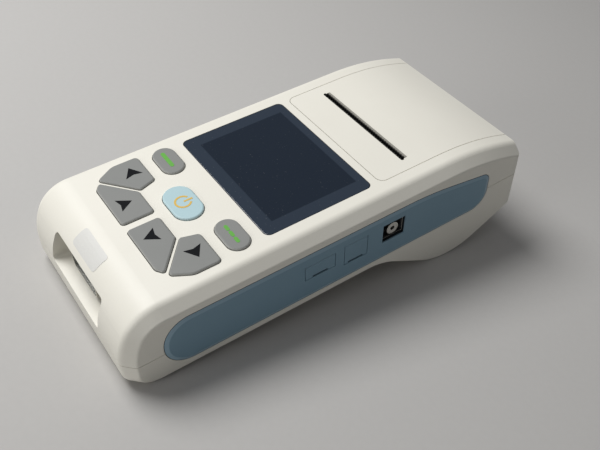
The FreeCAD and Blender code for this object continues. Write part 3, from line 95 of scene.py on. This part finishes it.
class Finish:
    """A procedural material: fixed numbers go on the shader, varying ones come from nodes."""

    def __init__(self, name, **fixed):
        self.material = bpy.data.materials.new(name)
        self.material.use_nodes = True
        self.tree = self.material.node_tree
        self.shader = self.tree.nodes["Principled BSDF"]
        for socket, value in fixed.items():
            self.shader.inputs[socket.replace("_", " ")].default_value = value

    def node(self, kind, settings=None, inputs=None, output=0):
        """Any node: its settings first, then the values or links of its sockets."""
        made = self.tree.nodes.new(kind)
        for name, value in (settings or {}).items():
            setattr(made, name, value)
        for name, value in (inputs or {}).items():
            self.feed(made.inputs[name], value)
        return Value(self, made.outputs[output])

    def feed(self, socket, value):
        if isinstance(value, Value):
            self.tree.links.new(value.socket, socket)
        else:
            socket.default_value = value

    def math(self, operation, first, second):
        return self.node("ShaderNodeMath", {"operation": operation}, {0: first, 1: second})

    def place(self):
        """Coordinates of the surface in millimetres, in the frame of the part."""
        spot = self.node("ShaderNodeTexCoord", output=3)
        return self.node(
            "ShaderNodeVectorMath", {"operation": "SCALE"}, {"Vector": spot, "Scale": 1 / MM}
        )

    def device_place(self):
        """Coordinates in millimetres along the machine's own axes."""
        spot = self.node("ShaderNodeTexCoord", output=3)
        seat = DEVICE.inverted()
        return self.node("ShaderNodeMapping", None, {
            "Vector": spot, "Location": seat.translation / MM, "Rotation": seat.to_euler(),
            "Scale": (1 / MM,) * 3,
        })

    def split(self, vector):
        """The three coordinates of a vector."""
        return [self.node("ShaderNodeSeparateXYZ", None, {0: vector}, output=i) for i in range(3)]

    def noise(self, size, detail=3.0, stretch=None):
        """Noise from 0 to 1 whose blotches are about one size across, in millimetres."""
        spot = self.place()
        if stretch:
            spot = self.node("ShaderNodeVectorMath", {"operation": "MULTIPLY"}, {0: spot, 1: stretch})
        return self.node("ShaderNodeTexNoise", None, {"Vector": spot, "Scale": 1 / size, "Detail": detail})

    def mix(self, share, first, second):
        """A colour between two, by a share from 0 to 1."""
        return self.node(
            "ShaderNodeMix", {"data_type": "RGBA"},
            {"Factor": share, 6: first, 7: second}, output=2,
        )

    def ramp(self, value, low, high):
        """A smooth step from 0 to 1 between two values."""
        return self.node(
            "ShaderNodeMapRange", {"interpolation_type": "SMOOTHSTEP"},
            {"Value": value, "From Min": low, "From Max": high},
        )

    def bump(self, height, depth):
        """Bump of a height from 0 to 1, with its depth in millimetres."""
        self.set(Normal=self.node("ShaderNodeBump", None, {"Distance": depth * MM, "Height": height}))

    def set(self, **sockets):
        for name, value in sockets.items():
            self.feed(self.shader.inputs[name.replace("_", " ")], value)


def rgb(red, green, blue):
    """A colour as it looks on screen, from 0 to 255, as linear light."""
    def linear(level):
        level /= 255
        return level / 12.92 if level <= 0.04045 else ((level + 0.055) / 1.055) ** 2.4

    return linear(red), linear(green), linear(blue), 1.0


def moulded(name, light, dark, roughness, grain, depth, **fixed):
    """Moulded plastic: faint cloudiness, a spark-eroded grain and slightly uneven gloss."""
    finish = Finish(name, **fixed)
    cloud = finish.noise(26.0, 4.0)
    grain_height = finish.noise(grain, 2.0)
    rub = finish.noise(7.0, 5.0)
    speck = finish.ramp(finish.noise(1.1, 1.0), 0.62, 0.75)
    finish.tone = finish.mix(cloud * 0.6 + speck * 0.12, light, dark)
    finish.set(Base_Color=finish.tone, Roughness=roughness - 0.06 + rub * 0.12 + grain_height * 0.04)
    finish.bump(grain_height, depth)
    return finish


def case_white():
    """Warm white moulding, with painted shade on the walls sunk in the joints round the keys and the
    window and in the slot.
    """
    finish = moulded(
        "case_white", rgb(238, 235, 224), rgb(229, 225, 213), 0.44, 0.32, 0.010, Specular_IOR_Level=0.42
    )
    across, along, up = finish.split(finish.device_place())
    joint_deep, joint_half, joint_low, joint_high = 3.0, 42.0, 24.0, 128.0
    slot_deep, slot_half, slot_low, slot_high = 2.1, 31.0, TEAR_FRONT - 1.9, TEAR_FRONT + 1.75
    sunk = finish.ramp(up * -1, 0.12 - TOP_FACE, 0.3 - TOP_FACE)
    shaded_joints = (up > TOP_FACE - joint_deep) * (across.size() < joint_half)
    shaded_joints = shaded_joints * (along > joint_low) * (along < joint_high)
    slot = (up > TOP_FACE - slot_deep) * (across.size() < slot_half)
    slot = slot * (along > slot_low) * (along < slot_high)
    # Painted shade: surfaces sunk below the top face in the key and window joints and in the slot are
    # darkened.
    finish.set(Base_Color=finish.mix(sunk * (shaded_joints + slot) * 0.9, finish.tone, rgb(44, 45, 46)))
    return finish


def strip_blue():
    """Blue moulding whose bevelled rim has a painted highlight, with painted shade in the joint below the
    rim.
    """
    finish = moulded(
        "strip_blue", rgb(124, 155, 172), rgb(113, 143, 162), 0.46, 0.26, 0.012, Specular_IOR_Level=0.4
    )
    across, _, _ = finish.split(finish.device_place())
    out = across.size()
    rim = finish.ramp(out * -1, -STRIP_FACE + 0.03, -STRIP_FACE + 0.12)
    joint = finish.ramp(out * -1, -STRIP_FACE + STRIP_RIM - 0.04, -STRIP_FACE + STRIP_RIM + 0.02)
    # Painted highlight: the bevelled rim is made lighter.
    rim_highlighted = finish.mix(rim * 0.35, finish.tone, rgb(176, 200, 214))
    # Painted shade: the strip is darkened where it sinks into the joint.
    finish.set(Base_Color=finish.mix(joint, rim_highlighted, rgb(34, 40, 46)))
    return finish


def key_with_painted_rim(name, light, dark, rim_highlight, roughness, depth, gloss):
    """Key moulding whose rounded edge has a painted highlight."""
    finish = moulded(name, light, dark, roughness, 0.22, depth, Specular_IOR_Level=gloss)
    _, _, up = finish.split(finish.device_place())
    rim = finish.ramp(up * -1, 0.03 - KEY_FACE, 0.3 - KEY_FACE)
    # Painted highlight: the rounded edge of the key is made paler.
    finish.set(Base_Color=finish.mix(rim * 0.5, finish.tone, rim_highlight))
    return finish


def key_grey():
    light, dark, rim_highlight = rgb(138, 139, 136), rgb(126, 127, 125), rgb(196, 196, 192)
    return key_with_painted_rim("key_grey", light, dark, rim_highlight, 0.55, 0.010, 0.35)


def power_cyan():
    light, dark, rim_highlight = rgb(182, 209, 214), rgb(170, 199, 206), rgb(204, 224, 227)
    return key_with_painted_rim("power_cyan", light, dark, rim_highlight, 0.42, 0.008, 0.4)


def black_plastic():
    return moulded("black_plastic", rgb(38, 38, 40), rgb(26, 26, 28), 0.5, 0.3, 0.012)


def socket_insert():
    return moulded("socket_insert", rgb(92, 98, 92), rgb(78, 84, 80), 0.5, 0.3, 0.010)


def gear_acetal():
    light, dark = rgb(232, 229, 218), rgb(222, 218, 204)
    return moulded("gear_acetal", light, dark, 0.38, 0.6, 0.006, Subsurface_Weight=0.05)


def cell_wrap():
    return moulded("cell_wrap", rgb(64, 98, 150), rgb(54, 84, 134), 0.3, 2.4, 0.05, Coat_Weight=0.2)


def window_tint():
    """Dark tinted window: a navy border printed behind it, and the darker active area."""
    finish = Finish("window_tint", Specular_IOR_Level=0.5, Coat_Weight=0.1, Coat_Roughness=0.05)
    across, along, _ = finish.split(finish.device_place())
    half_wide, low, high, soft = 30.0, 78.5, 122.0, 0.35
    inside_x = finish.ramp(across.size() * -1, -half_wide - soft, -half_wide + soft)
    above_low = finish.ramp(along, low - soft, low + soft)
    below_high = finish.ramp(along * -1, -high - soft, -high + soft)
    active = inside_x * (above_low * below_high)
    tint = finish.mix(active, rgb(45, 55, 68), rgb(26, 36, 49))
    dust = finish.ramp(finish.noise(0.9, 2.0), 0.66, 0.74)
    smear = finish.noise(16.0, 4.0)
    finish.set(
        Base_Color=finish.mix(dust * 0.05, tint, rgb(140, 140, 140)),
        Roughness=0.10 + smear * 0.07 + dust * 0.2,
    )
    return finish


def panel_glass():
    finish = Finish("panel_glass", Specular_IOR_Level=0.5)
    smear = finish.noise(9.0, 3.0)
    tone = finish.mix(smear, rgb(22, 24, 30), rgb(30, 32, 40))
    finish.set(Base_Color=tone, Roughness=0.15 + smear * 0.1)
    return finish


def metal(name, light, dark, roughness, stretch, depth):
    """Brushed or turned metal: fine streaks along one axis and slow stains."""
    finish = Finish(name, Metallic=1.0)
    streak = finish.noise(0.5, 4.0, stretch=stretch)
    stain = finish.noise(11.0, 4.0)
    finish.set(
        Base_Color=finish.mix(stain * 0.5 + streak * 0.4, light, dark),
        Roughness=roughness + streak * 0.14 + stain * 0.06,
    )
    finish.bump(streak, depth)
    return finish


def sheet_steel():
    return metal("sheet_steel", rgb(196, 197, 198), rgb(166, 167, 168), 0.24, (0.06, 1.0, 1.0), 0.006)


def tear_steel():
    """Dark bar, lighter along its top behind its teeth."""
    finish = Finish("tear_steel", Specular_IOR_Level=0.4)
    _, along, up = finish.split(finish.device_place())
    streak = finish.noise(0.4, 4.0, stretch=(0.2, 1.0, 1.0))
    top = finish.ramp(up + streak * 0.3, TOP_FACE - 0.3, TOP_FACE + 0.1)
    bright = top * finish.ramp(along, TEAR_FRONT - 0.1, TEAR_FRONT + 0.9)
    finish.set(
        Base_Color=finish.mix(bright, rgb(30, 30, 30), rgb(150, 147, 138)),
        Roughness=0.5 - bright * 0.12 + streak * 0.1,
    )
    finish.bump(streak, 0.01)
    return finish


def turned_steel():
    return metal("turned_steel", rgb(206, 206, 206), rgb(172, 172, 174), 0.2, (1.6, 1.0, 1.0), 0.004)


def plated_shell():
    return metal("plated_shell", rgb(214, 213, 208), rgb(186, 184, 178), 0.16, (0.3, 1.0, 1.0), 0.004)


def bronze():
    return metal("bronze", rgb(206, 168, 98), rgb(176, 138, 76), 0.26, (1.4, 1.0, 1.0), 0.006)


def soft_rubber(name, light, dark):
    """Silicone and platen rubber: matt, with a bloom of dust."""
    finish = Finish(name, Specular_IOR_Level=0.3)
    bloom = finish.noise(5.0, 5.0)
    pore = finish.noise(0.35, 2.0)
    finish.set(Base_Color=finish.mix(bloom * 0.8, light, dark), Roughness=0.66 + pore * 0.16)
    finish.bump(pore, 0.01)
    return finish


def board_mask():
    """Printed board: solder mask over copper tracks, with vias."""
    finish = Finish("board_mask", Specular_IOR_Level=0.5, Coat_Weight=0.25)
    spot = finish.place()
    tracks = finish.node("ShaderNodeTexBrick", {"offset": 0.35}, {
        "Vector": spot, "Scale": 0.35, "Mortar Size": 0.03, "Brick Width": 2.2, "Row Height": 0.6,
    }, output=1)
    pads = finish.node("ShaderNodeTexVoronoi", None, {"Vector": spot, "Scale": 0.3})
    via = finish.ramp(pads * -1, -0.2, -0.12)
    green = finish.mix(tracks, rgb(24, 84, 52), rgb(40, 108, 66))
    finish.set(
        Base_Color=finish.mix(via * 0.8, green, rgb(196, 170, 96)),
        Roughness=0.34 + tracks * 0.1, Metallic=via * 0.6,
    )
    finish.bump(tracks, 0.03)
    return finish


def thermal_paper():
    """Wound paper: smooth outside, fine rings of its edges on both ends."""
    finish = Finish("thermal_paper", Specular_IOR_Level=0.3)
    across, along, up = finish.split(finish.device_place())
    roll_along, roll_up, roll_half, pitch = 175.0, 8.0, 28.4, 0.7
    back, rise = along - roll_along, up - roll_up
    turn = finish.math("PINGPONG", finish.math("SQRT", back * back + rise * rise, 0), pitch)
    end_face = across.size() > roll_half
    fibre = finish.noise(0.6, 4.0)
    finish.set(
        Base_Color=finish.mix(end_face * turn * 0.5 + fibre * 0.2, rgb(244, 242, 236), rgb(206, 202, 192)),
        Roughness=0.62 + fibre * 0.14,
    )
    finish.bump(end_face * turn + fibre * 0.2, 0.05)
    return finish


def core_card():
    finish = Finish("core_card", Specular_IOR_Level=0.2)
    fibre = finish.noise(0.8, 6.0, stretch=(0.3, 1.0, 1.0))
    tone = finish.mix(fibre, rgb(176, 148, 112), rgb(148, 122, 90))
    finish.set(Base_Color=tone, Roughness=0.76 + fibre * 0.12)
    finish.bump(fibre, 0.04)
    return finish


def printed(name, light, dark, roughness=0.5, gloss=0.35):
    """Ink or paint on a piece: nearly even, with a little mottling."""
    finish = Finish(name, Specular_IOR_Level=gloss)
    mottle = finish.noise(0.8, 3.0)
    finish.set(Base_Color=finish.mix(mottle, light, dark), Roughness=roughness + mottle * 0.08)
    finish.bump(mottle, 0.006)
    return finish


def dress_nodes():
    """Give every CAD node its finish, and return the finishes by node."""
    groups = [
        (case_white(), "top_case bottom_case printer_cover battery_door"),
        (strip_blue(), "right_side_strip left_side_strip card_port_flap data_port_flap"),
        (key_grey(), "left_key up_key down_key right_key left_oval_key right_oval_key"),
        (power_cyan(), "power_key"),
        (window_tint(), "display_window"),
        (panel_glass(), "display_panel"),
        (sheet_steel(), "display_frame printer_frame head_spring stepper_motor"),
        (tear_steel(), "tear_bar"),
        (turned_steel(), "case_screws board_screws key_board_screws printer_screws battery_door_screws "
                         "cover_hinge_pin idler_axle motor_shaft platen_shaft"),
        (plated_shell(), "power_jack_sleeve data_socket_shell lead_socket_shell lead_socket_posts"),
        (socket_insert(), "lead_socket_insert"),
        (black_plastic(), "power_jack_body data_socket_tongue card_socket buzzer "
                          "thermal_head paper_spindle"),
        (soft_rubber("key_silicone", rgb(190, 190, 184), rgb(176, 176, 170)), "key_mat"),
        (soft_rubber("platen_rubber", rgb(52, 52, 54), rgb(40, 40, 42)), "platen_roller"),
        (board_mask(), "key_board main_board"),
        (gear_acetal(), "platen_gear idler_gear"),
        (bronze(), "motor_pinion platen_bushes"),
        (thermal_paper(), "paper_roll"),
        (core_card(), "paper_core"),
        (cell_wrap(), "battery_pack"),
    ]
    finishes = {name: finish for finish, names in groups for name in names.split()}
    for name, node in frame["nodes"].items():
        for slot in node.material_slots:
            slot.material = finishes[name].material
    return finishes


def device(x, y, z):
    """A point given in millimetres along the machine's own axes."""
    return DEVICE @ Vector((x * MM, y * MM, z * MM))


def new_piece(name, mesh, finish, body):
    piece = bpy.data.objects.new(name, mesh)
    bpy.context.collection.objects.link(piece)
    piece.data.materials.append(finish.material)
    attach(piece, body)
    return piece


def plates(name, outlines, low, thick, finish, body):
    """Flat plates with the given outlines, standing on a height of the machine's own frame."""
    form = bmesh.new()
    for points in outlines:
        rings = []
        for height in (low, low + thick):
            rings.append([form.verts.new(device(x, y, height)) for x, y in points])
        form.faces.new(rings[1])
        form.faces.new(list(reversed(rings[0])))
        for i in range(len(points)):
            j = (i + 1) % len(points)
            form.faces.new((rings[0][i], rings[0][j], rings[1][j], rings[1][i]))
    bmesh.ops.recalc_face_normals(form, faces=form.faces)
    mesh = bpy.data.meshes.new(name)
    form.to_mesh(mesh)
    form.free()
    return new_piece(name, mesh, finish, body)


def arrow(tip, base, half, notch):
    """Arrowhead with a hollow base; base is the middle of the base line."""
    tip, base = Vector(tip), Vector(base)
    way = (tip - base).normalized()
    side = Vector((-way.y, way.x))
    return [tip, base + side * half, base + way * notch, base - side * half]


def bar(left, right, middle, tall, corner=8):
    """Bar with round ends."""
    radius = tall / 2
    points = []
    for centre, start in ((right - radius, -90), (left + radius, 90)):
        for step in range(corner + 1):
            angle = math.radians(start + 180 * step / corner)
            points.append((centre + radius * math.cos(angle), middle + radius * math.sin(angle)))
    return points


def arc_band(centre, inner, outer, start, end, steps=28):
    """Band along an arc, in degrees from +X."""
    sweep = [math.radians(start + (end - start) * i / steps) for i in range(steps + 1)]
    def ring(radius, angles):
        return [(centre[0] + radius * math.cos(a), centre[1] + radius * math.sin(a)) for a in angles]

    return ring(outer, sweep) + ring(inner, reversed(sweep))


def key_signs():
    """Printed signs on the keys."""
    black = printed("sign_black", rgb(13, 15, 18), rgb(20, 22, 25), 0.7, 0.12)
    green = printed("sign_green", rgb(104, 180, 70), rgb(92, 164, 62))
    amber = printed("sign_amber", rgb(226, 190, 92), rgb(210, 172, 80))
    thick = 0.08
    arrows = {
        "left_key": ((-32.7, 43.9), (-26.5, 43.9)), "up_key": ((-12.9, 36.1), (-12.9, 30.0)),
        "down_key": ((10.6, 29.9), (10.6, 36.0)), "right_key": ((31.6, 43.8), (25.4, 43.8)),
    }
    half, notch = 3.9, 1.0
    for body, (tip, base) in arrows.items():
        head = arrow(tip, base, half, notch)
        plates(body + "_arrow", [head], KEY_FACE, thick, black, body)
    oval_middle, dash = 60.8, 3.6
    dashes = [bar(start, start + dash, oval_middle, 1.6) for start in (22.0, 26.0, 30.0)]
    long_bar = bar(-33.7, -22.7, oval_middle, 1.9)
    plates("left_oval_bar", [long_bar], KEY_FACE, thick, green, "left_oval_key")
    plates("right_oval_dashes", dashes, KEY_FACE, thick, green, "right_oval_key")
    centre = (0.0, 53.5)
    stem = [(-0.45, 53.9), (0.45, 53.9), (0.45, 58.0), (-0.45, 58.0)]
    sign = [arc_band(centre, 2.9, 3.8, 120, 420), stem]
    plates("power_sign", sign, KEY_FACE, thick, amber, "power_key")


def strip_rims(blue):
    """Side strips whose rims slope gently down to the joint with the case."""
    widen, close = 1.4, 0.01
    for name in ("right_side_strip", "left_side_strip"):
        mesh = frame["nodes"][name].data.copy()
        spots = [DEVICE.inverted() @ vertex.co / MM for vertex in mesh.vertices]
        edge = [spot.yz for spot in spots if abs(abs(spot.x) - STRIP_FACE + STRIP_RIM) < close]
        for vertex, spot in zip(mesh.vertices, spots):
            if abs(spot.x) < STRIP_FACE - close:
                continue
            inward = min((spot.yz - point for point in edge), key=lambda way: way.length)
            if inward.length < STRIP_RIM + close:
                spot.yz += inward.normalized() * widen
                vertex.co = DEVICE @ (spot * MM)
        mesh.materials.clear()
        smooth_between_edges(mesh, 10.0)
        piece = new_piece(name + "_shown", mesh, blue, "case")
        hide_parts(name)


def smooth_between_edges(mesh, degrees):
    """Shade a mesh smooth, except over edges sharper than an angle."""
    form = bmesh.new()
    form.from_mesh(mesh)
    bmesh.ops.remove_doubles(form, verts=form.verts, dist=MM * 1e-4)
    form.to_mesh(mesh)
    form.free()
    normals = mesh.attributes.get("custom_normal")
    if normals:
        mesh.attributes.remove(normals)
    mesh.shade_smooth()
    mesh.set_sharp_from_angle(angle=math.radians(degrees))


def screw_crosses():
    """Painted shade of the cross recesses in the screw heads that show on the underside: flat dark
    crosses.
    """
    black = printed("cross_black", rgb(30, 30, 31), rgb(22, 22, 23), 0.6)
    sides = (-1, 1)
    case_heads = [(41.0 * side, along) for along in (30.0, 74.0, 194.0) for side in sides]
    door_heads = [(27.0 * side, along) for along in (39.6, 88.4) for side in sides]
    arm, half, thick = 1.5, 0.3, 0.06
    corners = [
        (half, half), (half, arm), (-half, arm), (-half, half), (-arm, half), (-arm, -half),
        (-half, -half), (-half, -arm), (half, -arm), (half, -half), (arm, -half), (arm, half),
    ]
    for name, heads, face in (("case_crosses", case_heads, 3.2), ("door_crosses", door_heads, 0.1)):
        outlines = [[(x + across, y + along) for x, y in corners] for across, along in heads]
        plates(name, outlines, face - thick / 2, thick, black, "case")


def nose_plate():
    """Bare pale plate that lies on the curve of the nose above the lead socket."""
    grey = printed("plate_grey", rgb(224, 223, 218), rgb(216, 215, 210), 0.4)
    half_wide, low, high, corner, thick = 10.5, 7.0, 14.6, 1.4, 0.12
    case = frame["nodes"]["top_case"]
    spots = [vertex.co for vertex in case.data.vertices]
    surface = BVHTree.FromPolygons(spots, [face.vertices for face in case.data.polygons])
    up = (TURN @ Vector((0, 0, 1))).normalized()
    across, along = 40, 16
    form = bmesh.new()
    rows = []
    for j in range(along + 1):
        y = low + (high - low) * j / along
        edge = min(y - low, high - y)
        short = min(corner, max(0.0, corner - edge))
        pull = corner - math.sqrt(corner ** 2 - short ** 2)
        row = []
        for i in range(across + 1):
            x = (half_wide - pull) * (2 * i / across - 1)
            spot, normal, _, _ = surface.ray_cast(device(x, y, TOP_FACE + 10), -up)
            step = normal * thick * MM
            row.append((form.verts.new(spot + step), form.verts.new(spot - step)))
        rows.append(row)
    for j in range(along):
        for i in range(across):
            for side in (0, 1):
                ring = [rows[j][i], rows[j][i + 1], rows[j + 1][i + 1], rows[j + 1][i]]
                form.faces.new([pair[side] for pair in ring])
    right, left = [row[-1] for row in rows[1:]], [row[0] for row in rows[-2:0:-1]]
    border = rows[0] + right + rows[-1][-2::-1] + left
    for here, after in zip(border, border[1:] + border[:1]):
        form.faces.new((here[0], after[0], after[1], here[1]))
    bmesh.ops.recalc_face_normals(form, faces=form.faces)
    mesh = bpy.data.meshes.new("nose_plate")
    form.to_mesh(mesh)
    form.free()
    new_piece("nose_plate", mesh, grey, "case")


def studio():
    """Pale floor, a soft lamp above the left front, a weaker one before the nose, an even surround."""
    finish = Finish("floor_paper", Specular_IOR_Level=0.2)
    fibre = finish.noise(3.0, 5.0)
    tone = finish.mix(fibre, rgb(192, 190, 187), rgb(188, 186, 183))
    finish.set(Base_Color=tone, Roughness=0.7 + fibre * 0.1)
    floor_half = 12.0
    form = bmesh.new()
    bmesh.ops.create_grid(form, x_segments=1, y_segments=1, size=floor_half)
    mesh = bpy.data.meshes.new("floor")
    form.to_mesh(mesh)
    form.free()
    floor = bpy.data.objects.new("floor", mesh)
    bpy.context.collection.objects.link(floor)
    mesh.materials.append(finish.material)

    world = bpy.data.worlds.new("studio")
    bpy.context.scene.world = world
    world.use_nodes = True
    surround = world.node_tree.nodes["Background"].inputs
    surround["Color"].default_value = rgb(236, 238, 242)
    surround["Strength"].default_value = 0.18
    lamps = {
        "key_lamp": ((-0.42, -0.24, 0.8), 0.55, 7.6),
        "nose_lamp": ((0.1, -1.7, 0.52), 0.9, 5.8),
    }
    for name, (spot, size, power) in lamps.items():
        lamp = bpy.data.lights.new(name, "AREA")
        lamp.shape = "DISK"
        lamp.size = size
        lamp.energy = power
        holder = bpy.data.objects.new(name, lamp)
        holder.location = spot
        holder.rotation_euler = (-Vector(spot)).to_track_quat("-Z", "Y").to_euler()
        bpy.context.collection.objects.link(holder)


def photo_camera():
    """Camera at the photograph's angle, worked out in the machine's own frame."""
    azimuth, elevation, roll = math.radians(56.15), math.radians(44.87), math.radians(-0.41)
    target, distance, lens = device(38.41, 86.88, TOP_FACE), 327.55 * MM, 48.0
    level = math.cos(elevation)
    back = Vector((math.sin(azimuth) * level, -math.cos(azimuth) * level, math.sin(elevation)))
    right = Vector((0, 0, 1)).cross(back).normalized()
    up = back.cross(right)
    axes = Matrix((right, up, back)).transposed() @ Matrix.Rotation(roll, 3, "Z")
    data = bpy.data.cameras.new("photo_camera")
    data.lens = lens
    data.sensor_width = 36.0
    camera = bpy.data.objects.new("photo_camera", data)
    turned = TURN.to_3x3() @ axes
    camera.matrix_world = Matrix.Translation(target + TURN.to_3x3() @ back * distance) @ turned.to_4x4()
    bpy.context.collection.objects.link(camera)
    bpy.context.scene.camera = camera


node_finishes = dress_nodes()
strip_rims(node_finishes["right_side_strip"])
key_signs()
screw_crosses()
nose_plate()
studio()
photo_camera()
bpy.context.scene.view_settings.view_transform = "Standard"
